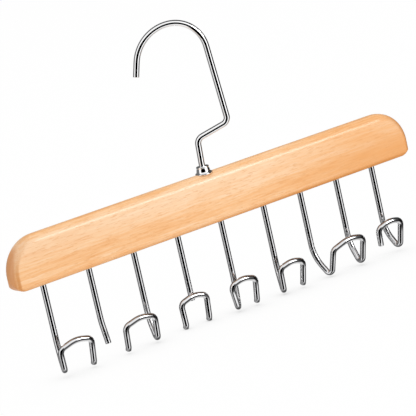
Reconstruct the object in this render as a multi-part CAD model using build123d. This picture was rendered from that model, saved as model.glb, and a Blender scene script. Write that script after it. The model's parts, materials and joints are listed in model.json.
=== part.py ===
from build123d import *
import math
import os

os.makedirs("parts", exist_ok=True)

# Tie hanger: a wooden bar on a swivelling wire hook, with bent wires below it for ties and belts.
# Millimetres and degrees. X runs along the bar, the front is -Y and Z points up. The origin is
# where the swivel axis meets the underside of the hook's crown, the place that rests on the rail.

# wooden bar
bar_length = 367.3
bar_height = 38.4
bar_thickness = 14.8
bar_offset = 2.9              # middle of the bar from the swivel axis
top_round = 6.5               # edges along the top and round the ends
under_round = 2.5             # edges along the bottom and its corners
top_corner_share = 0.70       # radius of the upper corners, of the bar's height
bottom_corner_share = 0.25

# main hook
hook_wire = 4.7
hook_drop = 114.25            # rail seat to the top of the bar
hook_turn = -20.0             # the hook's plane against the bar, as it stands on its swivel
crown_radius = 25.2           # centre line, on the side of the shank
lead_radius = 30.4            # centre line, on the side of the tip
crown_shift = 1.9             # top of the crown from the swivel axis, towards the tip
tip_flare = 15.0
tip_length = 11.0
shank_lean = 0.9              # lower bend from the swivel axis
neck_height = 26.5            # lower bend above the bar
neck_reach = 27.0             # upper bend from the swivel axis
neck_rise = 7.2
lower_bend_radius = 6.0
upper_bend_radius = 5.5
shank_bend_height = 8.0       # slight bend of the shank above the bar
shank_bend_radius = 40.0
end_break = 0.4               # rounding of the cut wire ends

# swivel
running_gap = 0.06            # radial, hook wire in its bush
collar_gap = 0.1              # radial, hook wire in its collar
bush_diameter = 8.0
bush_depth = 9.0              # below the top of the bar
bush_stand = 3.0              # above the floor of the spot face, inside the collar
washer_diameter = 7.2
washer_thickness = 1.0
head_diameter = 6.4
head_height = 1.8
head_room = 2.2               # left free below the head
spot_face_depth = 0.8
spot_face_gap = 0.25

# collar
collar_height = 6.3
collar_foot_diameter = 11.6
collar_flare_diameter = 13.2
collar_flare_height = 1.5
collar_base_diameter = 10.4
collar_base_height = 3.2
collar_neck_diameter = 9.3
collar_rim_diameter = 9.8
collar_rim_height = 1.2
collar_mouth = 0.7            # bevel round the hook wire

# wires below the bar
tie_wire = 4.5
wide_pitch_share = 0.1089     # of the bar's length
close_pitch_share = 0.0953
row_offset = 2.4              # the fifth stem from the middle of the bar
stem_seat = 20.0              # pressed into the bar
stem_drop = 52.5              # where a stem turns forward
foot_drop = 65.5              # lowest point of a wire's centre line
arch_drop = 44.8              # highest point of a bow's centre line
bow_depth = 12.0              # front of a foot's centre line from the stems
bow_lean = 10.0               # lean of the bows to the front
stem_bend_radius = 30.0
foot_inside = 0.5             # inside radius of the tight bend at a foot
shoulder_radius = 4.5
toe_turn = 28.0               # bend of a free leg's end to the back
toe_length = 2.6
toe_sag = 0.5                 # below the feet
toe_radius = 3.0
short_leg_drop = 60.0         # cut end of the leg without a toe
plain_pin_drop = 59.0
plain_pin_bend = 42.0
plain_pin_reach = 3.5
weld_pin_drop = 51.5
weld_sink = 0.2               # depth of the weld between the pin and its bow
welded_bow_sag = 1.9

arch_rise_share = 0.14        # of the bow's width
arch_radius_share = 0.8

# The bows are bent by hand, so no two are alike. Shares of the wide pitch: left foot, left
# shoulder, middle of the arch, right shoulder and right foot from the stem, then the arch and the
# carried foot above their usual places, and the right shoulder above the left one.
bow_shape_shares = {
    "tie_hook_1": (-0.12, -0.17, 0.19, 0.515, 0.51, 0.005, 0.035, 0.02),
    "tie_hook_3": (-0.72, -0.735, -0.38, -0.08, -0.065, -0.025, -0.01, 0.01),
    "welded_bow_4": (-0.31, -0.317, -0.01, 0.268, 0.225, -0.02, 0, 0.01),
    "tie_hook_5": (-0.21, -0.32, -0.04, 0.24, 0.23, -0.02, 0, 0),
    "tie_hook_6": (-0.13, -0.175, 0.12, 0.375, 0.33, -0.035, -0.02, 0),
    "double_hook_7": (0.13, 0.23, 0.63, 0.965, 0.88, -0.015, -0.01, 0.05),
    "tie_hook_9": (-0.374, -0.404, -0.12, 0.155, 0.08, 0.035, 0.025, 0.03),
}

# levels
bar_top = -hook_drop
bar_under = bar_top - bar_height
bar_middle = (bar_top + bar_under) / 2
foot_level = bar_under - foot_drop
arch_level = bar_under - arch_drop
lean_slope = math.tan(math.radians(bow_lean))
foot_radius = tie_wire / 2 + foot_inside

# Nine stems: six at the wide pitch, then three closer ones.
wide_pitch = bar_length * wide_pitch_share
close_pitch = bar_length * close_pitch_share
stem_places = [bar_offset + row_offset + step * wide_pitch for step in range(-4, 2)]
stem_places += [stem_places[-1] + step * close_pitch for step in range(1, 4)]


def round_wire(path, diameter):
    """A round wire along a path."""
    start = Plane(origin=path @ 0, z_dir=path % 0)
    return sweep(start * Circle(diameter / 2), path=path).solid()


def bent_wire(points, radii, diameter):
    """A wire through corner points, each bent to its own radius."""
    return round_wire(FilletPolyline(*points, radius=radii), diameter)


def break_ends(wire, *places):
    """Rounds the cut ends that lie nearest to the given places."""
    rims = wire.edges().filter_by(GeomType.CIRCLE)
    ends = [min(rims, key=lambda rim: (rim.arc_center - Vector(*place)).length) for place in places]
    return fillet(ends, end_break)


def tube(outer, inner, low, high):
    """A plain sleeve on the swivel axis."""
    middle = Pos(0, 0, (low + high) / 2)
    return middle * (Cylinder(outer / 2, high - low) - Cylinder(inner / 2, high - low))


def tangent_point(point, centre, radius, side):
    """Where the line from a point touches a circle, in the plane of the hook."""
    away = point - centre
    swing = math.degrees(math.acos(radius / away.length)) * side
    return centre + away.normalized().rotate(Axis.Z, swing) * radius


def make_bar():
    """The bar: a board rounded over along its top and ends, and eased along its bottom."""
    with BuildSketch(Plane.XZ) as upper:
        with Locations((bar_offset, bar_under)):
            Rectangle(bar_length, 2 * bar_height)
        fillet(upper.vertices().sort_by(Axis.Y)[-2:], bar_height * top_corner_share)
    board = extrude(upper.sketch, bar_thickness / 2, both=True)
    board = fillet(board.faces().filter_by(Axis.Y).edges().sort_by(Axis.Z)[2:], top_round)

    with BuildSketch(Plane.XZ) as lower:
        with Locations((bar_offset, bar_top)):
            Rectangle(bar_length, 2 * bar_height)
        fillet(lower.vertices().sort_by(Axis.Y)[:2], bar_height * bottom_corner_share)
    base = extrude(lower.sketch, bar_thickness / 2, both=True)
    base = fillet(base.faces().filter_by(Axis.Y).edges().sort_by(Axis.Z)[:-2], under_round)
    bar = board & base

    seat = bar_top - spot_face_depth
    spot_face = Cylinder(collar_flare_diameter / 2 + spot_face_gap, bar_height)
    bar -= Pos(0, 0, seat + bar_height / 2) * spot_face
    bore_depth = bush_depth + washer_thickness + head_height + head_room
    bar -= Pos(0, 0, bar_top - bore_depth / 2) * Cylinder(bush_diameter / 2, bore_depth)
    for place in stem_places:
        bar -= Pos(place, 0, bar_under + stem_seat / 2) * Cylinder(tie_wire / 2, stem_seat)
    return bar


def make_hook():
    """The swivel hook, drawn in its own plane, with its end peened over the washer."""
    seat_drop = crown_radius - math.sqrt((crown_radius - hook_wire / 2) ** 2 - crown_shift ** 2)
    crown_top = seat_drop
    crown_centre = Vector(-crown_shift, crown_top - crown_radius)
    lead_centre = Vector(-crown_shift, crown_top - lead_radius)
    neck = Vector(shank_lean, bar_top + neck_height)
    elbow = Vector(neck_reach, neck.Y + neck_rise)
    limb_top = tangent_point(elbow, crown_centre, crown_radius, 1)
    limb_angle = math.degrees(math.atan2(limb_top.Y - crown_centre.Y, limb_top.X - crown_centre.X))
    shank_bend = Vector(0, bar_top + shank_bend_height)
    shank_end = Vector(0, bar_top - bush_depth - washer_thickness)

    lead_end = lead_centre + Vector(0, lead_radius).rotate(Axis.Z, 90 - tip_flare)
    tip = lead_end + Vector(0, -tip_length).rotate(Axis.Z, -tip_flare)
    tip_run = Line(tip, lead_end)
    lead = CenterArc(lead_centre, lead_radius, 180 - tip_flare, tip_flare - 90)
    crown = CenterArc(crown_centre, crown_radius, 90, limb_angle - 90)
    bend_radii = [upper_bend_radius, lower_bend_radius, shank_bend_radius]
    neck_run = FilletPolyline(limb_top, elbow, neck, shank_bend, shank_end, radius=bend_radii)
    path = Wire([tip_run.edge(), lead.edge(), crown.edge(), *neck_run.edges()])
    wire = break_ends(round_wire(path, hook_wire), tip)

    stand_up = Rot(0, 0, hook_turn) * Rot(90, 0, 0)
    wire = stand_up * wire
    head_top = bar_top - bush_depth - washer_thickness
    head = Pos(0, 0, head_top - head_height / 2) * Cylinder(head_diameter / 2, head_height)
    head = fillet(head.edges().sort_by(Axis.Z)[0], head_height / 2)
    return (wire + head).solid()


def make_washer():
    """The washer between the peened head and the bush."""
    top = bar_top - bush_depth
    return tube(washer_diameter, hook_wire, top - washer_thickness, top)


def make_bush():
    """The bush that the hook turns in, pressed into the bar."""
    top = bar_top - spot_face_depth + bush_stand
    return tube(bush_diameter, hook_wire + 2 * running_gap, bar_top - bush_depth, top)


def make_collar():
    """The flared collar over the top of the bush: foot, flare, tapering neck and rolled rim."""
    foot, flare, base, neck, rim = (
        collar_foot_diameter / 2,
        collar_flare_diameter / 2,
        collar_base_diameter / 2,
        collar_neck_diameter / 2,
        collar_rim_diameter / 2,
    )
    bore = hook_wire / 2 + collar_gap
    rim_low = collar_height - collar_rim_height
    with BuildSketch(Plane.XZ) as profile:
        with BuildLine():
            Polyline((bush_diameter / 2, 0), (foot, 0))
            ThreePointArc((foot, 0), (flare, collar_flare_height / 2), (foot, collar_flare_height))
            TangentArc((base, collar_base_height), (foot, collar_flare_height), tangent=(0, -1))
            Polyline((base, collar_base_height), (neck, rim_low))
            ThreePointArc((neck, rim_low), (rim, rim_low + collar_rim_height / 2), (neck, collar_height))
            Polyline(
                (neck, collar_height),
                (bore + collar_mouth, collar_height),
                (bore, collar_height - collar_mouth),
                (bore, bush_stand),
                (bush_diameter / 2, bush_stand),
                (bush_diameter / 2, 0),
            )
        make_face()
    collar = revolve(profile.sketch, Axis.Z)
    return Pos(0, 0, bar_top - spot_face_depth) * collar


def lean_depth(level):
    """How far a leaning bow stands in front of the stems at a height."""
    return bow_depth + (level - foot_level) * lean_slope


def stem_route(place, foot, lift):
    """A stem from its hole in the bar down to the tight bend at its foot."""
    turn = Vector(place, 0, bar_under - stem_drop)
    centre_level = foot_level + lift + foot_radius
    reach = math.hypot(foot - place, lean_depth(centre_level))
    across = reach - foot_radius / math.cos(math.radians(bow_lean))
    down = turn.Z - centre_level
    slope = math.atan2(across, down) - math.asin(foot_radius / math.hypot(across, down))
    run = math.tan(slope)
    level = (turn.Z * run + centre_level * lean_slope - reach) / (run + lean_slope)
    corner = Vector(foot, -lean_depth(level), level)
    return [Vector(place, 0, bar_under + stem_seat), turn, corner], [stem_bend_radius, foot_radius]


def arch_route(left, middle, right, lift, tilt, depth_at):
    """Two shoulders with a shallow arch between them."""
    width = right - left
    rise = width * arch_rise_share
    radius = width * arch_radius_share
    slope = math.atan(2 * arch_rise_share)
    apex = arch_level + lift + radius * (1 / math.cos(slope) - 1)
    low, high = apex - rise - tilt / 2, apex - rise + tilt / 2
    corners = [(left, low), (middle, apex), (right, high)]
    points = [Vector(place, -depth_at(level), level) for place, level in corners]
    return points, [shoulder_radius, radius, shoulder_radius]


def toe_route(foot, depth_at, sag=0.0):
    """The lower end of a free leg, its tip bent to the back."""
    turn = math.radians(toe_turn)
    low = foot_level - toe_sag - sag - tie_wire / 2 * (1 - math.sin(turn))
    bend = Vector(foot, -depth_at(low), low + toe_length * math.cos(turn))
    tip = bend + Vector(0, toe_length * math.sin(turn), -toe_length * math.cos(turn))
    return [bend, tip], [toe_radius]


def bow_shape(name, place):
    """The five places along the bar, then the three heights, in millimetres."""
    sizes = [share * wide_pitch for share in bow_shape_shares[name]]
    return [place + size for size in sizes[:5]], sizes[5:]


def make_tie_hook(name, place, carried, toe=True):
    """One wire: stem, foot, front leg, arch and free leg. carried is the side that has the stem."""
    (left_foot, left, middle, right, right_foot), (arch_lift, foot_lift, tilt) = bow_shape(name, place)
    foot, free_foot = (left_foot, right_foot) if carried == "left" else (right_foot, left_foot)
    stem, stem_radii = stem_route(place, foot, foot_lift)
    arch, arch_radii = arch_route(left, middle, right, arch_lift, tilt, lean_depth)
    if carried == "right":
        arch.reverse()
    if toe:
        end, end_radii = toe_route(free_foot, lean_depth)
    else:
        level = bar_under - short_leg_drop
        end, end_radii = [Vector(free_foot, -lean_depth(level), level)], []
    wire = bent_wire(stem + arch + end, stem_radii + arch_radii + end_radii, tie_wire)
    return break_ends(wire, end[-1])


def make_double_hook(name, place, other_place):
    """The one wire with a stem at both ends."""
    (left_foot, left, middle, right, right_foot), (arch_lift, foot_lift, tilt) = bow_shape(name, place)
    stem, radii = stem_route(place, left_foot, foot_lift)
    other, other_radii = stem_route(other_place, right_foot, foot_lift)
    arch, arch_radii = arch_route(left, middle, right, arch_lift, tilt, lean_depth)
    points = stem + arch + other[::-1]
    return bent_wire(points, radii + arch_radii + other_radii[::-1], tie_wire)


def weld_depth(level):
    """The welded bow stands upright, against the front of its pin."""
    return tie_wire - weld_sink


def make_welded_bow(name, place):
    """The bow without a stem of its own, welded to the front of a straight pin."""
    (left_foot, left, middle, right, right_foot), (arch_lift, _, tilt) = bow_shape(name, place)
    arch, arch_radii = arch_route(left, middle, right, arch_lift - welded_bow_sag, tilt, weld_depth)
    left_toe, toe_radii = toe_route(left_foot, weld_depth, welded_bow_sag)
    right_toe, _ = toe_route(right_foot, weld_depth, welded_bow_sag)
    points = left_toe[::-1] + arch + right_toe
    wire = bent_wire(points, toe_radii + arch_radii + toe_radii, tie_wire)
    return break_ends(wire, points[0], points[-1])


def make_plain_pin(place):
    """The pin that carries no bow, bent a little forward."""
    points = [
        Vector(place, 0, bar_under + stem_seat),
        Vector(place, 0, bar_under - plain_pin_bend),
        Vector(place, -plain_pin_reach, bar_under - plain_pin_drop),
    ]
    return break_ends(bent_wire(points, [stem_bend_radius], tie_wire), points[-1])


def make_weld_pin(place):
    """The straight pin that carries the welded bow."""
    length = stem_seat + weld_pin_drop
    pin = Pos(place, 0, bar_under + stem_seat - length / 2) * Cylinder(tie_wire / 2, length)
    return break_ends(pin.solid(), (place, 0, bar_under - weld_pin_drop))


nodes = {
    "wood_bar": make_bar(),
    "swivel_hook": make_hook(),
    "retaining_washer": make_washer(),
    "swivel_bush": make_bush(),
    "hook_collar": make_collar(),
    "tie_hook_1": make_tie_hook("tie_hook_1", stem_places[0], "left"),
    "plain_pin_2": make_plain_pin(stem_places[1]),
    "tie_hook_3": make_tie_hook("tie_hook_3", stem_places[2], "right"),
    "weld_pin_4": make_weld_pin(stem_places[3]),
    "welded_bow_4": make_welded_bow("welded_bow_4", stem_places[3]),
    "tie_hook_5": make_tie_hook("tie_hook_5", stem_places[4], "left"),
    "tie_hook_6": make_tie_hook("tie_hook_6", stem_places[5], "left"),
    "double_hook_7": make_double_hook("double_hook_7", stem_places[6], stem_places[7]),
    "tie_hook_9": make_tie_hook("tie_hook_9", stem_places[8], "right", toe=False),
}

for name, solid in nodes.items():
    export_step(solid, f"parts/{name}.step")
    print(name, "volume", round(solid.volume, 1))
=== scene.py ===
import json
import math

import bpy
from mathutils import Matrix, Vector


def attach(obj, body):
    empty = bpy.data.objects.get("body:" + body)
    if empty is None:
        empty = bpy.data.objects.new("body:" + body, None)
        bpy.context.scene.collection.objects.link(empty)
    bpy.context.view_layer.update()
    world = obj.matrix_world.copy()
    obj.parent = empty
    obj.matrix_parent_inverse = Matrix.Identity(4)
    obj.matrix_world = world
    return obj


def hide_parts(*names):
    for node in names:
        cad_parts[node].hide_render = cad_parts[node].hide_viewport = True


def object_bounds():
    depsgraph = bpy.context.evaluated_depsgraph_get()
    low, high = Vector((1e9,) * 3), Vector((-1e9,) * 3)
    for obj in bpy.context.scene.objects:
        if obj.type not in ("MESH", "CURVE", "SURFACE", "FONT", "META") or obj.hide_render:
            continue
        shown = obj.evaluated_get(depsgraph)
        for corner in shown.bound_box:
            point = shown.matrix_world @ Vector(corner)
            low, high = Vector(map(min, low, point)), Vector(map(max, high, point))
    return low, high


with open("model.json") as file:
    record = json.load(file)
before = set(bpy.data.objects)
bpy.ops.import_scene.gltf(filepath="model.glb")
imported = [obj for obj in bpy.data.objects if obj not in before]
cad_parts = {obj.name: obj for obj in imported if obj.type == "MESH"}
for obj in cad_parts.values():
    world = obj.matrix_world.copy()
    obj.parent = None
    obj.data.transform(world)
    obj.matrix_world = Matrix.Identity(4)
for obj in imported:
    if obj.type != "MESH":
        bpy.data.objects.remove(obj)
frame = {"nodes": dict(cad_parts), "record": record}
cad_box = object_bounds()
nodes = frame["nodes"]
node_body = {name: body for body, names in frame["record"]["behaviour"]["bodies"].items() for name in names}
node_slot = {part["node"]: part["material_slot"] for part in frame["record"]["subparts"]}
scene = bpy.context.scene
scene.view_settings.view_transform = "Standard"
MM = 0.001
UP = Vector((0, 0, 1))

# camera, fitted to the photograph
CAMERA_TARGET = (-3.169, 0.0, -140.79)   # mm
CAMERA_DISTANCE = 2201.4                 # mm
CAMERA_AZIMUTH = -31.0                   # degrees, negative is left of the front
CAMERA_ELEVATION = 11.526                # degrees
CAMERA_ROLL = -12.766                    # degrees
CAMERA_LENS = 252.26                     # mm
SENSOR_WIDTH = 36.0                      # mm
CLIP_START, CLIP_END = 0.1, 50.0         # m

# the object's sizes that the fine meshes need, in millimetres and degrees, as in the part's source
BAR_LENGTH = 367.3
BAR_HEIGHT = 38.4
BAR_OFFSET = 2.9
HOOK_WIRE = 4.7
HOOK_DROP = 114.25
HOOK_TURN = -20.0
CROWN_RADIUS = 25.2
LEAD_RADIUS = 30.4
CROWN_SHIFT = 1.9
TIP_FLARE = 15.0
TIP_LENGTH = 11.0
SHANK_LEAN = 0.9
NECK_HEIGHT = 26.5
NECK_REACH = 27.0
NECK_RISE = 7.2
LOWER_BEND_RADIUS = 6.0
UPPER_BEND_RADIUS = 5.5
SHANK_BEND_HEIGHT = 8.0
SHANK_BEND_RADIUS = 40.0
BUSH_DEPTH = 9.0
BUSH_STAND = 3.0
BUSH_DIAMETER = 8.0
WASHER_THICKNESS = 1.0
HEAD_DIAMETER = 6.4
HEAD_HEIGHT = 1.8
END_BREAK = 0.4
COLLAR_GAP = 0.1
SPOT_FACE_DEPTH = 0.8
COLLAR_HEIGHT = 6.3
COLLAR_FOOT_DIAMETER = 11.6
COLLAR_FLARE_DIAMETER = 13.2
COLLAR_FLARE_HEIGHT = 1.5
COLLAR_BASE_DIAMETER = 10.4
COLLAR_BASE_HEIGHT = 3.2
COLLAR_NECK_DIAMETER = 9.3
COLLAR_RIM_DIAMETER = 9.8
COLLAR_RIM_HEIGHT = 1.2
COLLAR_MOUTH = 0.7
TIE_WIRE = 4.5
WIDE_PITCH = BAR_LENGTH * 0.1089
CLOSE_PITCH = BAR_LENGTH * 0.0953
ROW_OFFSET = 2.4
STEM_SEAT = 20.0
STEM_DROP = 52.5
FOOT_DROP = 65.5
ARCH_DROP = 44.8
BOW_DEPTH = 12.0
BOW_LEAN = 10.0
STEM_BEND_RADIUS = 30.0
FOOT_RADIUS = 2.75
SHOULDER_RADIUS = 4.5
TOE_TURN = 28.0
TOE_LENGTH = 2.6
TOE_SAG = 0.5
TOE_RADIUS = 3.0
SHORT_LEG_DROP = 60.0
PLAIN_PIN_DROP = 59.0
PLAIN_PIN_BEND = 42.0
PLAIN_PIN_REACH = 3.5
WELD_PIN_DROP = 51.5
WELD_SINK = 0.2
WELDED_BOW_SAG = 1.9
ARCH_RISE_SHARE = 0.14
ARCH_RADIUS_SHARE = 0.8
# each bow, in shares of the wide pitch: left foot, left shoulder, middle, right shoulder and right foot
# from its stem, then the lift of its arch, the lift of its foot and the tilt of its shoulders
BOW_SHAPE_SHARES = {
    "tie_hook_1": (-0.12, -0.17, 0.19, 0.515, 0.51, 0.005, 0.035, 0.02),
    "tie_hook_3": (-0.72, -0.735, -0.38, -0.08, -0.065, -0.025, -0.01, 0.01),
    "welded_bow_4": (-0.31, -0.317, -0.01, 0.268, 0.225, -0.02, 0, 0.01),
    "tie_hook_5": (-0.21, -0.32, -0.04, 0.24, 0.23, -0.02, 0, 0),
    "tie_hook_6": (-0.13, -0.175, 0.12, 0.375, 0.33, -0.035, -0.02, 0),
    "double_hook_7": (0.13, 0.23, 0.63, 0.965, 0.88, -0.015, -0.01, 0.05),
    "tie_hook_9": (-0.374, -0.404, -0.12, 0.155, 0.08, 0.035, 0.025, 0.03),
}
BAR_TOP = -HOOK_DROP
BAR_UNDER = BAR_TOP - BAR_HEIGHT
FOOT_LEVEL = BAR_UNDER - FOOT_DROP
ARCH_LEVEL = BAR_UNDER - ARCH_DROP
LEAN_SLOPE = math.tan(math.radians(BOW_LEAN))
STEM_PLACES = [BAR_OFFSET + ROW_OFFSET + step * WIDE_PITCH for step in range(-4, 2)]
STEM_PLACES += [STEM_PLACES[-1] + step * CLOSE_PITCH for step in range(1, 4)]

# fineness of the meshes
ARC_STEP = 3.0              # degrees between the rings in a bend
RUN_STEP = 6.0              # mm between the rings in a straight run
ROUND_STEPS = 5             # rings along a rounded edge
PROFILE_STEPS = 10          # points along an arc of the collar's profile
WIRE_SIDES = 40
LATHE_SIDES = 96
WIRE_CRISP_ANGLE = 50.0     # degrees, edges sharper than this stay crisp
LATHE_CRISP_ANGLE = 40.0
SAME_PLACE = 1e-6           # mm
SAME_RING = 1e-5            # mm

# a zone is the start and the end of a smooth step, and where four numbers stand, its values there too
# chrome: tint, roughness
WIRE_FINISH = ((0.76, 0.76, 0.77, 1.0), 0.02)
HOOK_FINISH = ((0.98, 0.98, 0.985, 1.0), 0.015)
BUSH_FINISH = ((0.62, 0.62, 0.63, 1.0), 0.25)
HAZE_NOISE = {"scale": (700.0, 700.0, 90.0), "detail": 3.0}
HAZE_SPREAD = (0.3, 0.7)
HAZE_ROUGHNESS = (0.6, 1.4)         # shares of the finish's roughness
HAZE_TINT = (0.5, 0.5, 0.52, 1.0)
HAZE_TINT_SHARE = 0.04
# painted light on the bows, by the surface's turn upwards and sideways and by the place: shade under the feet, a dark
# reflection line along the arches and a pale reflection below it
FOOT_SHADE_TURN = (-0.1, -0.6)
FOOT_SHADE_LEVEL = ((FOOT_LEVEL + 6.0) * MM, FOOT_LEVEL * MM)
ARCH_ZONE_LEVEL = ((ARCH_LEVEL - 11.0) * MM, (ARCH_LEVEL - 5.0) * MM)
ARCH_ZONE_DEPTH = (-0.003, -0.005)
ARCH_ZONE_SIDE = (0.55, 0.38)
ARCH_REFLECTION_LINE_START = (-0.41, -0.31)
ARCH_REFLECTION_LINE_END = (0.27, 0.17)
ARCH_PAINTED_PALE_TURN = (-0.36, -0.46)
PAINTED_DARK = (0.02, 0.02, 0.022, 1.0)
PAINTED_PALE = (1.0, 1.0, 1.0, 1.0)
PAINTED_DARK_STRENGTH = 0.92

# wood: noises along the bar, and the shares of the first three in the tone
BROAD_NOISE = {"scale": (6.0, 60.0, 60.0), "detail": 2.0, "offset": (3.1, 0.0, 7.7)}
MEDIUM_NOISE = {"scale": (13.0, 210.0, 210.0), "detail": 3.0, "roughness": 0.6, "distortion": 0.6,
                "offset": (1.7, 2.0, 0.4)}
FINE_NOISE = {"scale": (45.0, 800.0, 800.0), "detail": 3.0, "roughness": 0.65, "distortion": 0.4}
FLECK_NOISE = {"scale": (150.0, 1300.0, 1300.0), "detail": 2.0, "roughness": 0.5, "offset": (0.3, 5.0, 9.0)}
BROAD_SHARE, MEDIUM_SHARE, FINE_SHARE = 0.5, 0.6, 0.7
TONE_ZONE = (0.54, 1.26)
WOOD_TONES = [(0.0, (240, 174, 112)), (0.35, (247, 191, 136)), (0.65, (250, 203, 155)), (1.0, (253, 218, 182))]
# zones by height above the bar's underside, by place along the bar, in metres, and by the surface's turn
# the painted sheen below the top edge of the front
PAINTED_SHEEN_HEIGHT, PAINTED_SHEEN_ALONG, PAINTED_SHEEN_TOP_END = (0.012, 0.031, 0.0, 0.32), (0.155, 0.02), (0.0375, 0.0325)
DEEP_ALONG, DEEP_HEIGHT = (0.02, 0.175, 0.0, 0.8), (0.036, 0.005, 0.3, 1.0)
FLECK_ZONE = (0.57, 0.67, 0.0, 0.42)
# painted shade along the bottom edge, on the ends and on the lower front-left corner; the ends are also partly darker
# end grain
PAINTED_RIM_SHADE_HEIGHT, PAINTED_RIM_SHADE_ALONG = (0.0042, 0.0008, 0.0, 0.5), (-0.1, 0.17, 0.75, 2.4)
LEFT_TURN, RIGHT_TURN = (-0.45, -0.8, 0.0, 0.85), (0.1, 0.65, 0.0, 0.85)
PAINTED_CORNER_SHADE_START, PAINTED_CORNER_SHADE_END, PAINTED_CORNER_SHADE_HEIGHT = (-0.12, -0.3), (-0.65, -0.45), (0.026, 0.008, 0.2, 0.75)
PAINTED_SHEEN_WOOD, DEEP_WOOD, FLECK_WOOD = (254, 229, 200), (234, 164, 97), (228, 160, 98)
PAINTED_RIM_SHADE_WOOD, LEFT_END_GRAIN_AND_SHADE_WOOD, PAINTED_CORNER_SHADE_WOOD, RIGHT_END_GRAIN_AND_SHADE_WOOD = (216, 145, 78), (221, 152, 97), (214, 142, 78), (204, 136, 74)
# lacquer
GRAIN_ROUGHNESS = (0.3, 0.7, 0.34, 0.42)
GRAIN_BUMP, FLECK_BUMP, BUMP_STRENGTH, BUMP_DISTANCE = 0.6, -0.4, 0.06, 0.0004
LACQUER_SPECULAR, COAT_ROUGHNESS = 0.1, 0.2
COAT_FACE, COAT_EDGE = 0.25, 0.42
COAT_EDGE_START, COAT_EDGE_END = (0.03, 0.12), (0.65, 0.4)

# floor
FLOOR_HALF = 6.0            # m
FLOOR_COLOUR = (0.9, 0.9, 0.9, 1.0)
FLOOR_GLOW = 0.96
CONTACT_REACH = 0.03        # m
CONTACT_SHADOW = 0.5
CONTACT_SAMPLES = 16
WHITE = (1.0, 1.0, 1.0, 1.0)

# the studio that metal sees: a white tent, with the dark room showing through its open front
# each opening: azimuth, elevation, half its width, half its height and its soft edge, in degrees
FRONT_OPENING = (-33.0, -5.2, 39.2, 34.4, 2.0)
LOW_OPENING = (-60.0, -40.0, 17.0, 11.0, 3.0)
TENT_LEFT, TENT_RIGHT, TENT_TOP, TENT_BELOW = 1.10, 1.40, 1.0, 1.06
LEFT_ZONE, RIGHT_ZONE, TOP_ZONE, BELOW_ZONE = (-0.2, -0.9), (0.2, 0.9), (0.1, 0.8), (-0.69, -0.99)
BACK_LEFT, BACK_RIGHT, BACK_TOP, BACK_BELOW = 0.17, 0.03, 0.1, 0.8
BACK_ZONE = (0.343, 0.241)
CORNER_POWER = 4.0          # rounds the corners of an opening
WORLD_LEVEL = 0.775
# lamps: azimuth and elevation in degrees, distance and size in metres, power in watts, seen in metal
LAMPS = {
    "key": (33.0, 17.0, 2.5, 0.8, 15.5, True),
    "top": (150.0, 68.0, 2.5, 1.2, 14.0, False),
}


# ---- paths of the wires ----

def lean_depth(level):
    """How far a leaning bow stands in front of its stems."""
    return BOW_DEPTH + (level - FOOT_LEVEL) * LEAN_SLOPE


def weld_depth(level):
    """How far the welded bow stands in front of its pin."""
    return TIE_WIRE - WELD_SINK


def bow_shape(name, place):
    sizes = [share * WIDE_PITCH for share in BOW_SHAPE_SHARES[name]]
    return [place + size for size in sizes[:5]], sizes[5:]


def stem_route(place, foot, lift):
    """Down from the bar, then forward along a slope to the foot."""
    turn = Vector((place, 0, BAR_UNDER - STEM_DROP))
    centre_level = FOOT_LEVEL + lift + FOOT_RADIUS
    reach = math.hypot(foot - place, lean_depth(centre_level))
    across = reach - FOOT_RADIUS / math.cos(math.radians(BOW_LEAN))
    down = turn.z - centre_level
    slope = math.atan2(across, down) - math.asin(FOOT_RADIUS / math.hypot(across, down))
    run = math.tan(slope)
    level = (turn.z * run + centre_level * LEAN_SLOPE - reach) / (run + LEAN_SLOPE)
    corner = Vector((foot, -lean_depth(level), level))
    return [Vector((place, 0, BAR_UNDER + STEM_SEAT)), turn, corner], [STEM_BEND_RADIUS, FOOT_RADIUS]


def arch_route(left, middle, right, lift, tilt, depth_at):
    width = right - left
    rise = width * ARCH_RISE_SHARE
    radius = width * ARCH_RADIUS_SHARE
    slope = math.atan(2 * ARCH_RISE_SHARE)
    apex = ARCH_LEVEL + lift + radius * (1 / math.cos(slope) - 1)
    corners = [(left, apex - rise - tilt / 2), (middle, apex), (right, apex - rise + tilt / 2)]
    points = [Vector((place, -depth_at(level), level)) for place, level in corners]
    return points, [SHOULDER_RADIUS, radius, SHOULDER_RADIUS]


def toe_route(foot, depth_at, sag=0.0):
    turn = math.radians(TOE_TURN)
    low = FOOT_LEVEL - TOE_SAG - sag - TIE_WIRE / 2 * (1 - math.sin(turn))
    bend = Vector((foot, -depth_at(low), low + TOE_LENGTH * math.cos(turn)))
    tip = bend + Vector((0, TOE_LENGTH * math.sin(turn), -TOE_LENGTH * math.cos(turn)))
    return [bend, tip], [TOE_RADIUS]


def tie_hook_route(name, place, carried, toe=True):
    """Stem, arch and free leg; the stem carries the bow's left or right foot."""
    (left_foot, left, middle, right, right_foot), (arch_lift, foot_lift, tilt) = bow_shape(name, place)
    foot, free_foot = (left_foot, right_foot) if carried == "left" else (right_foot, left_foot)
    stem, stem_radii = stem_route(place, foot, foot_lift)
    arch, arch_radii = arch_route(left, middle, right, arch_lift, tilt, lean_depth)
    if carried == "right":
        arch.reverse()
    if toe:
        end, end_radii = toe_route(free_foot, lean_depth)
    else:
        level = BAR_UNDER - SHORT_LEG_DROP
        end, end_radii = [Vector((free_foot, -lean_depth(level), level))], []
    return stem + arch + end, stem_radii + arch_radii + end_radii


def double_hook_route(name, place, other_place):
    """One wire with a stem at both ends of its arch."""
    (left_foot, left, middle, right, right_foot), (arch_lift, foot_lift, tilt) = bow_shape(name, place)
    stem, radii = stem_route(place, left_foot, foot_lift)
    other, other_radii = stem_route(other_place, right_foot, foot_lift)
    arch, arch_radii = arch_route(left, middle, right, arch_lift, tilt, lean_depth)
    return stem + arch + other[::-1], radii + arch_radii + other_radii[::-1]


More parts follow.
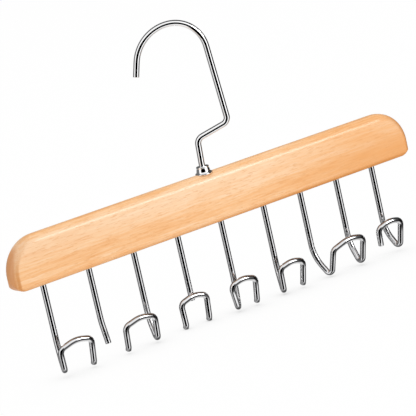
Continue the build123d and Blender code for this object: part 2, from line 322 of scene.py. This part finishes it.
def welded_bow_route(name, place):
    """A bow of its own with two toes."""
    (left_foot, left, middle, right, right_foot), (arch_lift, _, tilt) = bow_shape(name, place)
    arch, arch_radii = arch_route(left, middle, right, arch_lift - WELDED_BOW_SAG, tilt, weld_depth)
    left_toe, toe_radii = toe_route(left_foot, weld_depth, WELDED_BOW_SAG)
    right_toe, _ = toe_route(right_foot, weld_depth, WELDED_BOW_SAG)
    return left_toe[::-1] + arch + right_toe, toe_radii + arch_radii + toe_radii


def filled_line(points):
    """Fills the long runs of a line with points."""
    filled = [points[0]]
    for point in points[1:]:
        start = filled[-1]
        length = (point - start).length
        if length < SAME_PLACE:
            continue
        parts = max(1, round(length / RUN_STEP))
        filled += [start.lerp(point, part / parts) for part in range(1, parts + 1)]
    return filled


def bent_line(points, radii):
    """The centre line through corner points, each bent to its own radius."""
    line = [points[0]]
    for before, corner, after, radius in zip(points, points[1:], points[2:], radii):
        back = (before - corner).normalized()
        ahead = (after - corner).normalized()
        opening = back.angle(ahead)
        centre = corner + (back + ahead).normalized() * radius / math.sin(opening / 2)
        first = corner + back * radius / math.tan(opening / 2) - centre
        last = corner + ahead * radius / math.tan(opening / 2) - centre
        axis = first.cross(last).normalized()
        sweep = first.angle(last)
        steps = max(2, math.ceil(math.degrees(sweep) / ARC_STEP))
        line += [centre + Matrix.Rotation(sweep * step / steps, 3, axis) @ first for step in range(steps + 1)]
    line.append(points[-1])
    return filled_line(line)


def arc_points(centre, radius, start, end):
    steps = math.ceil(abs(end - start) / ARC_STEP)
    angles = [math.radians(start + (end - start) * step / steps) for step in range(steps + 1)]
    return [centre + Vector((math.cos(angle), 0, math.sin(angle))) * radius for angle in angles]


def hook_line():
    """The hook's centre line in its own plane, from the tip to the head, then turned on the swivel axis."""
    seat_drop = CROWN_RADIUS - math.sqrt((CROWN_RADIUS - HOOK_WIRE / 2) ** 2 - CROWN_SHIFT ** 2)
    crown_centre = Vector((-CROWN_SHIFT, 0, seat_drop - CROWN_RADIUS))
    lead_centre = Vector((-CROWN_SHIFT, 0, seat_drop - LEAD_RADIUS))
    neck = Vector((SHANK_LEAN, 0, BAR_TOP + NECK_HEIGHT))
    elbow = Vector((NECK_REACH, 0, neck.z + NECK_RISE))
    away = elbow - crown_centre
    limb_angle = math.atan2(away.z, away.x) + math.acos(CROWN_RADIUS / away.length)
    limb_top = crown_centre + Vector((math.cos(limb_angle), 0, math.sin(limb_angle))) * CROWN_RADIUS
    flare = math.radians(TIP_FLARE)
    lead = arc_points(lead_centre, LEAD_RADIUS, 180 - TIP_FLARE, 90)
    tip = lead[0] + Vector((-math.sin(flare), 0, -math.cos(flare))) * TIP_LENGTH
    crown = arc_points(crown_centre, CROWN_RADIUS, 90, math.degrees(limb_angle))
    bend = Vector((0, 0, BAR_TOP + SHANK_BEND_HEIGHT))
    end = Vector((0, 0, BAR_TOP - BUSH_DEPTH - WASHER_THICKNESS))
    radii = [UPPER_BEND_RADIUS, LOWER_BEND_RADIUS, SHANK_BEND_RADIUS]
    neck_line = bent_line([limb_top, elbow, neck, bend, end], radii)
    turn = Matrix.Rotation(math.radians(HOOK_TURN), 3, "Z")
    return [turn @ point for point in filled_line([tip] + lead + crown[1:]) + neck_line[1:]]


# ---- meshes ----

def piece(name, vertices, faces):
    mesh = bpy.data.meshes.new(name)
    mesh.from_pydata([tuple(vertex) for vertex in vertices], [], faces)
    mesh.shade_smooth()
    made = bpy.data.objects.new(name, mesh)
    scene.collection.objects.link(made)
    return made


def sharpen(made, angle):
    """Keeps the edges sharper than an angle as crisp edges."""
    made.data.set_sharp_from_angle(angle=math.radians(angle))


def quarter(radius):
    """Distance from the end and shortfall in radius along a rounded edge."""
    angles = [math.pi / 2 * step / ROUND_STEPS for step in range(ROUND_STEPS + 1)]
    return [(radius * (1 - math.cos(angle)), radius * (1 - math.sin(angle))) for angle in angles]


def rounded_end(line, radius):
    """The rings of a rounded cut at the start of a line: places and radii."""
    towards = (line[1] - line[0]).normalized()
    return [(line[0] + towards * along, radius - short) for along, short in quarter(END_BREAK)]


def tube(name, rings):
    """A closed tube through rings, each a centre and a radius, with flat ends."""
    kept = [rings[0]]
    for ring in rings[1:]:
        if (ring[0] - kept[-1][0]).length > SAME_RING or abs(ring[1] - kept[-1][1]) > SAME_RING:
            kept.append(ring)
    centres = [ring[0] for ring in kept]
    count = len(kept)
    tangents = []
    for index in range(count):
        before, after = centres[max(index - 1, 0)], centres[min(index + 1, count - 1)]
        tangents.append((after - before).normalized() if (after - before).length > SAME_PLACE else tangents[-1])
    side = tangents[0].orthogonal().normalized()
    vertices, faces = [], []
    for index, (centre, radius) in enumerate(kept):
        side = (side - tangents[index] * side.dot(tangents[index])).normalized()
        other = tangents[index].cross(side)
        for step in range(WIRE_SIDES):
            angle = math.tau * step / WIRE_SIDES
            vertices.append((centre + (side * math.cos(angle) + other * math.sin(angle)) * radius) * MM)
    for index in range(count - 1):
        low, high = index * WIRE_SIDES, (index + 1) * WIRE_SIDES
        for step in range(WIRE_SIDES):
            following = (step + 1) % WIRE_SIDES
            faces.append((low + step, low + following, high + following, high + step))
    faces.append(tuple(reversed(range(WIRE_SIDES))))
    faces.append(tuple(range((count - 1) * WIRE_SIDES, count * WIRE_SIDES)))
    made = piece(name, vertices, faces)
    sharpen(made, WIRE_CRISP_ANGLE)
    return made


def wire(name, line, diameter, rounded):
    """A wire along a line, with its cut start and end rounded or not."""
    rings = [(place, diameter / 2) for place in line]
    if rounded[0]:
        rings = rounded_end(line, diameter / 2) + rings[1:]
    if rounded[1]:
        rings = rings[:-1] + rounded_end(line[::-1], diameter / 2)[::-1]
    return tube(name + "_wire", rings)


def lathe(name, profile):
    """A closed ring from a profile of radius and height, turned about the swivel axis."""
    vertices, faces = [], []
    for step in range(LATHE_SIDES):
        angle = math.tau * step / LATHE_SIDES
        vertices += [Vector((radius * math.cos(angle), radius * math.sin(angle), height)) * MM
                     for radius, height in profile]
    count = len(profile)
    for step in range(LATHE_SIDES):
        here, there = step * count, (step + 1) % LATHE_SIDES * count
        for index in range(count):
            following = (index + 1) % count
            faces.append((here + index, there + index, there + following, here + following))
    made = piece(name, vertices, faces)
    sharpen(made, LATHE_CRISP_ANGLE)
    return made


def arc_profile(start, through, end):
    """A circular arc through three places of a profile."""
    (ax, ay), (bx, by), (cx, cy) = start, through, end
    d = 2 * (ax * (by - cy) + bx * (cy - ay) + cx * (ay - by))
    ux = ((ax**2 + ay**2) * (by - cy) + (bx**2 + by**2) * (cy - ay) + (cx**2 + cy**2) * (ay - by)) / d
    uy = ((ax**2 + ay**2) * (cx - bx) + (bx**2 + by**2) * (ax - cx) + (cx**2 + cy**2) * (bx - ax)) / d
    radius = math.hypot(ax - ux, ay - uy)
    a0, a1, a2 = (math.atan2(y - uy, x - ux) for x, y in (start, through, end))
    sweep = (a2 - a0) % math.tau
    if (a1 - a0) % math.tau > sweep:
        sweep -= math.tau
    angles = [a0 + sweep * step / PROFILE_STEPS for step in range(PROFILE_STEPS + 1)]
    return [(ux + radius * math.cos(angle), uy + radius * math.sin(angle)) for angle in angles]


def make_collar():
    foot, flare, base = COLLAR_FOOT_DIAMETER / 2, COLLAR_FLARE_DIAMETER / 2, COLLAR_BASE_DIAMETER / 2
    neck, rim, bush = COLLAR_NECK_DIAMETER / 2, COLLAR_RIM_DIAMETER / 2, BUSH_DIAMETER / 2
    bore = HOOK_WIRE / 2 + COLLAR_GAP
    rim_low = COLLAR_HEIGHT - COLLAR_RIM_HEIGHT
    rise, run = COLLAR_BASE_HEIGHT - COLLAR_FLARE_HEIGHT, foot - base
    radius = (run**2 + rise**2) / (2 * run)
    middle = math.asin(rise / radius) / 2
    profile = [(bush, 0.0)]
    profile += arc_profile((foot, 0.0), (flare, COLLAR_FLARE_HEIGHT / 2), (foot, COLLAR_FLARE_HEIGHT))
    waist = (base + radius * (1 - math.cos(middle)), COLLAR_BASE_HEIGHT - radius * math.sin(middle))
    profile += arc_profile((foot, COLLAR_FLARE_HEIGHT), waist, (base, COLLAR_BASE_HEIGHT))[1:]
    profile += arc_profile((neck, rim_low), (rim, rim_low + COLLAR_RIM_HEIGHT / 2), (neck, COLLAR_HEIGHT))
    profile += [(bore + COLLAR_MOUTH, COLLAR_HEIGHT), (bore, COLLAR_HEIGHT - COLLAR_MOUTH)]
    profile += [(bore, BUSH_STAND), (bush, BUSH_STAND)]
    seat = BAR_TOP - SPOT_FACE_DEPTH
    return lathe("hook_collar_turned", [(x, z + seat) for x, z in profile])


def make_hook():
    """The hook's wire with its peened head."""
    line = hook_line()
    rings = rounded_end(line, HOOK_WIRE / 2) + [(place, HOOK_WIRE / 2) for place in line[1:]]
    shape = [(HEAD_DIAMETER / 2, 0.0)]
    shape += [(HEAD_DIAMETER / 2 - short, HEAD_HEIGHT - along) for along, short in quarter(HEAD_HEIGHT / 2)[::-1]]
    rings += [(line[-1] - UP * down, radius) for radius, down in shape]
    return tube("swivel_hook_wire", rings)


def make_metal():
    """All the wires and the collar, as fine meshes on the lines of the CAD solids."""
    places = STEM_PLACES
    top = BAR_UNDER + STEM_SEAT
    routes = {
        "tie_hook_1": tie_hook_route("tie_hook_1", places[0], "left"),
        "plain_pin_2": (
            [Vector((places[1], 0, top)), Vector((places[1], 0, BAR_UNDER - PLAIN_PIN_BEND)),
             Vector((places[1], -PLAIN_PIN_REACH, BAR_UNDER - PLAIN_PIN_DROP))],
            [STEM_BEND_RADIUS],
        ),
        "tie_hook_3": tie_hook_route("tie_hook_3", places[2], "right"),
        "weld_pin_4": ([Vector((places[3], 0, top)), Vector((places[3], 0, BAR_UNDER - WELD_PIN_DROP))], []),
        "welded_bow_4": welded_bow_route("welded_bow_4", places[3]),
        "tie_hook_5": tie_hook_route("tie_hook_5", places[4], "left"),
        "tie_hook_6": tie_hook_route("tie_hook_6", places[5], "left"),
        "double_hook_7": double_hook_route("double_hook_7", places[6], places[7]),
        "tie_hook_9": tie_hook_route("tie_hook_9", places[8], "right", toe=False),
    }
    ends = {"welded_bow_4": (True, True), "double_hook_7": (False, False)}
    made = {
        node: wire(node, bent_line(points, radii), TIE_WIRE, ends.get(node, (False, True)))
        for node, (points, radii) in routes.items()
    }
    made["swivel_hook"] = make_hook()
    made["hook_collar"] = make_collar()
    return made


# ---- materials ----

class Tree:
    """A short way to write a node tree."""

    def __init__(self, tree):
        self.tree = tree
        tree.nodes.clear()

    def put(self, socket, value):
        if isinstance(value, bpy.types.NodeSocket):
            self.tree.links.new(value, socket)
        else:
            socket.default_value = value

    def add(self, kind, inputs=None, **settings):
        node = self.tree.nodes.new(kind)
        for name, value in settings.items():
            setattr(node, name, value)
        for name, value in (inputs or {}).items():
            self.put(node.inputs[name], value)
        return node

    def math(self, operation, a, b=0.0, c=0.0, clamp=False):
        return self.add("ShaderNodeMath", {0: a, 1: b, 2: c}, operation=operation, use_clamp=clamp).outputs[0]

    def times(self, a, b, clamp=False):
        return self.math("MULTIPLY", a, b, clamp=clamp)

    def dot(self, a, b):
        return self.add("ShaderNodeVectorMath", {0: a, 1: tuple(b)}, operation="DOT_PRODUCT").outputs["Value"]

    def split(self, vector):
        return self.add("ShaderNodeSeparateXYZ", {0: vector}).outputs

    def step(self, value, low, high, to_low=0.0, to_high=1.0):
        """A smooth step of a value between two bounds."""
        inputs = {"Value": value, "From Min": low, "From Max": high, "To Min": to_low, "To Max": to_high}
        return self.add("ShaderNodeMapRange", inputs, interpolation_type="SMOOTHSTEP").outputs["Result"]

    def noise(self, coordinates, scale, detail=2.0, roughness=0.5, distortion=0.0, offset=(0.0, 0.0, 0.0)):
        """Noise with its own scale along each axis, in features per metre."""
        place = self.add("ShaderNodeMapping", {"Vector": coordinates, "Scale": scale, "Location": offset}).outputs[0]
        inputs = {"Vector": place, "Scale": 1.0, "Detail": detail, "Roughness": roughness, "Distortion": distortion}
        return self.add("ShaderNodeTexNoise", inputs).outputs["Fac"]

    def ramp(self, value, stops):
        node = self.add("ShaderNodeValToRGB", {"Fac": value})
        elements = node.color_ramp.elements
        while len(elements) < len(stops):
            elements.new(0.5)
        for element, (position, colour) in zip(elements, stops):
            element.position = position
            element.color = colour
        return node.outputs["Color"]

    def mix(self, factor, a, b):
        """A colour between two others."""
        node = self.add("ShaderNodeMix", data_type="RGBA", blend_type="MIX")
        for socket, value in ((node.inputs[0], factor), (node.inputs[6], a), (node.inputs[7], b)):
            self.put(socket, value)
        return node.outputs[2]

    def between(self, factor, a, b):
        """A number between two others."""
        return self.math("MULTIPLY_ADD", factor, self.math("SUBTRACT", b, a), a)

    def choose(self, factor, a, b):
        """A shader between two others."""
        return self.add("ShaderNodeMixShader", {0: factor, 1: a, 2: b}).outputs[0]


def srgb(rgb):
    """sRGB values from 0 to 255 as a linear colour."""
    shares = [value / 255 for value in rgb]
    return (*[v / 12.92 if v <= 0.04045 else ((v + 0.055) / 1.055) ** 2.4 for v in shares], 1.0)


def material(name):
    made = bpy.data.materials.new(name)
    made.use_nodes = True
    return made, Tree(made.node_tree)


def bow_painted_light(t, places, colour):
    """Painted light on the bows: a dark reflection line on the arches, a pale reflection under them and shade under
    the feet.
    """
    _, y, z = t.split(places["Object"])
    nx, _, nz = t.split(places["Normal"])
    under = t.times(t.step(nz, *FOOT_SHADE_TURN), t.step(z, *FOOT_SHADE_LEVEL))
    arch = t.times(t.step(z, *ARCH_ZONE_LEVEL), t.step(y, *ARCH_ZONE_DEPTH))
    arch = t.times(arch, t.step(t.math("ABSOLUTE", nx), *ARCH_ZONE_SIDE))
    line = t.times(t.step(nz, *ARCH_REFLECTION_LINE_START), t.step(nz, *ARCH_REFLECTION_LINE_END))
    pale = t.times(t.step(nz, *ARCH_PAINTED_PALE_TURN), arch)
    colour = t.mix(pale, colour, PAINTED_PALE)
    dark = t.math("MAXIMUM", under, t.times(line, arch))
    return t.mix(t.times(dark, PAINTED_DARK_STRENGTH), colour, PAINTED_DARK)


def make_chrome(name, tint, roughness, painted_light=False):
    """Polished metal, a little uneven."""
    made, t = material(name)
    places = t.add("ShaderNodeTexCoord").outputs
    haze = t.noise(places["Object"], **HAZE_NOISE)
    rough = t.step(haze, *HAZE_SPREAD, *[roughness * share for share in HAZE_ROUGHNESS])
    colour = t.mix(t.step(haze, *HAZE_SPREAD, 0.0, HAZE_TINT_SHARE), tint, HAZE_TINT)
    # painted light on the bows: painted shade under the feet and painted reflections on the arches, in the tint
    if painted_light:
        colour = bow_painted_light(t, places, colour)
    shader = t.add("ShaderNodeBsdfPrincipled", {"Base Color": colour, "Metallic": 1.0, "Roughness": rough})
    t.add("ShaderNodeOutputMaterial", {"Surface": shader.outputs[0]})
    return made


def make_wood():
    """Pale satin-lacquered beech: broad bands, fine streaks and short flecks along the bar, with a painted sheen and
    painted shade.
    """
    made, t = material("wood_lacquered")
    places = t.add("ShaderNodeTexCoord").outputs
    coords = places["Object"]
    x, _, z = t.split(coords)
    nx, _, nz = t.split(places["Normal"])
    height = t.math("SUBTRACT", z, BAR_UNDER * MM)
    broad, medium, fine, fleck = (t.noise(coords, **noise)
                                  for noise in (BROAD_NOISE, MEDIUM_NOISE, FINE_NOISE, FLECK_NOISE))
    tone = t.math("MULTIPLY_ADD", medium, MEDIUM_SHARE, t.times(broad, BROAD_SHARE))
    tone = t.math("MULTIPLY_ADD", fine, FINE_SHARE, tone)
    colour = t.ramp(t.step(tone, *TONE_ZONE), [(place, srgb(shade)) for place, shade in WOOD_TONES])
    # a painted sheen, paler towards the top of the front; deeper and more orange towards the right and below
    pale = t.times(t.step(height, *PAINTED_SHEEN_HEIGHT), t.step(x, *PAINTED_SHEEN_ALONG))
    pale = t.times(pale, t.step(height, *PAINTED_SHEEN_TOP_END))
    colour = t.mix(pale, colour, srgb(PAINTED_SHEEN_WOOD))
    deep = t.times(t.step(x, *DEEP_ALONG), t.step(height, *DEEP_HEIGHT))
    colour = t.mix(deep, colour, srgb(DEEP_WOOD))
    colour = t.mix(t.step(fleck, *FLECK_ZONE), colour, srgb(FLECK_WOOD))
    # painted shade along the bottom edge and on the lower front-left corner, and darker on the ends, partly painted
    # shade and partly where the grain is cut across
    rim = t.times(t.step(height, *PAINTED_RIM_SHADE_HEIGHT), t.step(x, *PAINTED_RIM_SHADE_ALONG), clamp=True)
    colour = t.mix(rim, colour, srgb(PAINTED_RIM_SHADE_WOOD))
    colour = t.mix(t.step(nx, *LEFT_TURN), colour, srgb(LEFT_END_GRAIN_AND_SHADE_WOOD))
    corner = t.times(t.step(nx, *PAINTED_CORNER_SHADE_START), t.step(nx, *PAINTED_CORNER_SHADE_END))
    corner = t.times(corner, t.step(height, *PAINTED_CORNER_SHADE_HEIGHT))
    colour = t.mix(corner, colour, srgb(PAINTED_CORNER_SHADE_WOOD))
    colour = t.mix(t.step(nx, *RIGHT_TURN), colour, srgb(RIGHT_END_GRAIN_AND_SHADE_WOOD))
    # the lacquer, thicker on the rounded edge along the top
    relief = t.math("MULTIPLY_ADD", fine, GRAIN_BUMP, t.times(fleck, FLECK_BUMP))
    bump = t.add("ShaderNodeBump", {"Height": relief, "Strength": BUMP_STRENGTH, "Distance": BUMP_DISTANCE})
    edge = t.times(t.step(nz, *COAT_EDGE_START), t.step(nz, *COAT_EDGE_END))
    shader = t.add("ShaderNodeBsdfPrincipled", {
        "Base Color": colour,
        "Roughness": t.step(fine, *GRAIN_ROUGHNESS),
        "Normal": bump.outputs[0],
        "Specular IOR Level": LACQUER_SPECULAR,
        "Coat Weight": t.math("MULTIPLY_ADD", edge, COAT_EDGE, COAT_FACE),
        "Coat Roughness": COAT_ROUGHNESS,
    })
    t.add("ShaderNodeOutputMaterial", {"Surface": shader.outputs[0]})
    return made


# ---- studio ----

def direction(azimuth, elevation):
    """The unit vector towards an azimuth, seen from the front, and an elevation."""
    a, e = math.radians(azimuth), math.radians(elevation)
    return Vector((math.sin(a) * math.cos(e), -math.cos(a) * math.cos(e), math.sin(e)))


def camera_axes():
    """The camera's right, top and back in the world."""
    back = direction(CAMERA_AZIMUTH, CAMERA_ELEVATION)
    side = (-back).cross(UP).normalized()
    up = side.cross(-back)
    roll = math.radians(CAMERA_ROLL)
    right = math.cos(roll) * side + math.sin(roll) * up
    top = -math.sin(roll) * side + math.cos(roll) * up
    return right, top, back


def make_camera():
    right, top, back = camera_axes()
    data = bpy.data.cameras.new("camera")
    data.lens = CAMERA_LENS
    data.sensor_width = SENSOR_WIDTH
    data.clip_start, data.clip_end = CLIP_START, CLIP_END
    camera = bpy.data.objects.new("camera", data)
    scene.collection.objects.link(camera)
    place = (Vector(CAMERA_TARGET) + back * CAMERA_DISTANCE) * MM
    turn = Matrix((right, top, back)).transposed()
    camera.matrix_world = Matrix.Translation(place) @ turn.to_4x4()
    scene.camera = camera


def make_floor():
    """White paper below the feet, with their soft contact shadows. It is clear from below and to metal."""
    lowest = cad_box[0][2]
    corners = [Vector((x * FLOOR_HALF, y * FLOOR_HALF, lowest)) for x, y in ((-1, -1), (1, -1), (1, 1), (-1, 1))]
    floor = piece("floor", corners, [(0, 1, 2, 3)])
    made, t = material("floor_paper")
    path = t.add("ShaderNodeLightPath").outputs
    near = t.add("ShaderNodeAmbientOcclusion", {"Distance": CONTACT_REACH}, samples=CONTACT_SAMPLES).outputs["AO"]
    level = t.step(near, 0.0, 1.0, 1.0 - CONTACT_SHADOW, 1.0)
    paper = t.add("ShaderNodeBsdfDiffuse", {"Color": FLOOR_COLOUR}).outputs[0]
    glow = t.add("ShaderNodeEmission", {"Color": WHITE, "Strength": level}).outputs[0]
    base = t.choose(path["Is Camera Ray"], paper, t.choose(FLOOR_GLOW, paper, glow))
    clear = t.add("ShaderNodeBsdfTransparent").outputs[0]
    below = t.add("ShaderNodeNewGeometry").outputs["Backfacing"]
    surface = t.choose(t.math("MAXIMUM", path["Is Glossy Ray"], below), base, clear)
    t.add("ShaderNodeOutputMaterial", {"Surface": surface})
    floor.data.materials.append(made)


def outside(t, ray, azimuth, elevation, width, height, edge):
    """0 inside an opening of the tent and 1 beside it."""
    ahead = direction(azimuth, elevation)
    side = UP.cross(ahead).normalized()
    up = ahead.cross(side)
    forward = t.dot(ray, ahead)
    turn = t.math("ARCTAN2", t.dot(ray, side), t.math("MAXIMUM", forward, 0.001))
    tilt = t.math("ARCSINE", t.dot(ray, up))
    shares = [t.math("POWER", t.math("ABSOLUTE", t.math("DIVIDE", angle, math.radians(half))), CORNER_POWER)
              for angle, half in ((turn, width), (tilt, height))]
    reach = t.math("POWER", t.math("ADD", *shares), 1 / CORNER_POWER)
    beside = t.step(reach, 1 - edge / width, 1 + edge / width)
    return t.math("MAXIMUM", beside, t.math("LESS_THAN", forward, 0.0))


def tent_level(t, ray, across, height):
    """The white tent around the camera, with its dark openings."""
    tent = t.math("ADD", t.step(across, *LEFT_ZONE, 0.0, TENT_LEFT - 1), t.step(across, *RIGHT_ZONE, 1.0, TENT_RIGHT))
    tent = t.math("ADD", tent, t.step(height, *TOP_ZONE, 0.0, TENT_TOP - 1))
    tent = t.between(t.step(height, *BELOW_ZONE), tent, TENT_BELOW)
    for opening in (FRONT_OPENING, LOW_OPENING):
        tent = t.times(tent, outside(t, ray, *opening))
    return tent


def back_level(t, across, height):
    """The room behind the object, dark to the sides and above and pale below."""
    total, back = 0.0001, 0.0
    sides = ((across, -1.0, BACK_LEFT), (across, 1.0, BACK_RIGHT), (height, 1.0, BACK_TOP), (height, -1.0, BACK_BELOW))
    for value, sign, level in sides:
        share = t.math("POWER", t.math("MAXIMUM", t.times(value, sign), 0.0), 2.0)
        total = t.math("ADD", share, total)
        back = t.math("MULTIPLY_ADD", share, level, back)
    return t.math("DIVIDE", back, total)


def make_world():
    """The white studio, as diffuse surfaces see it, as metal sees it and as the background."""
    world = bpy.data.worlds.new("studio")
    scene.world = world
    world.use_nodes = True
    t = Tree(world.node_tree)
    path = t.add("ShaderNodeLightPath").outputs
    ray = t.add("ShaderNodeTexCoord").outputs["Generated"]
    height = t.split(ray)[2]
    right, _, towards_camera = camera_axes()
    across = t.dot(ray, right)
    behind = t.step(t.dot(ray, towards_camera), *BACK_ZONE)
    mirrored = t.between(behind, tent_level(t, ray, across, height), back_level(t, across, height))
    plain, mirrored, seen = (t.add("ShaderNodeBackground", {"Color": WHITE, "Strength": level}).outputs[0]
                             for level in (WORLD_LEVEL, mirrored, 1.0))
    lit = t.choose(path["Is Glossy Ray"], plain, mirrored)
    t.add("ShaderNodeOutputWorld", {"Surface": t.choose(path["Is Camera Ray"], lit, seen)})


def make_lamp(name, azimuth, elevation, distance, size, power, glossy):
    data = bpy.data.lights.new(name, "AREA")
    data.shape = "SQUARE"
    data.size = size
    data.energy = power
    lamp = bpy.data.objects.new(name, data)
    scene.collection.objects.link(lamp)
    towards = direction(azimuth, elevation)
    lamp.location = Vector(CAMERA_TARGET) * MM + towards * distance
    lamp.rotation_euler = towards.to_track_quat("Z", "Y").to_euler()
    lamp.visible_glossy = glossy


make_camera()
make_floor()
make_world()
for lamp_name, settings in LAMPS.items():
    make_lamp(lamp_name, *settings)

finishes = {
    "wood": make_wood(),
    "wire_chrome": make_chrome("wire_chrome", *WIRE_FINISH, painted_light=True),
    "hook_chrome": make_chrome("hook_chrome", *HOOK_FINISH),
    "bush_steel": make_chrome("bush_steel", *BUSH_FINISH),
}
for node, made in make_metal().items():
    made.data.materials.append(finishes[node_slot[node]])
    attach(made, node_body[node])
    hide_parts(node)
for node, slot in node_slot.items():
    mesh = nodes[node].data
    mesh.materials.clear()
    mesh.materials.append(finishes[slot])
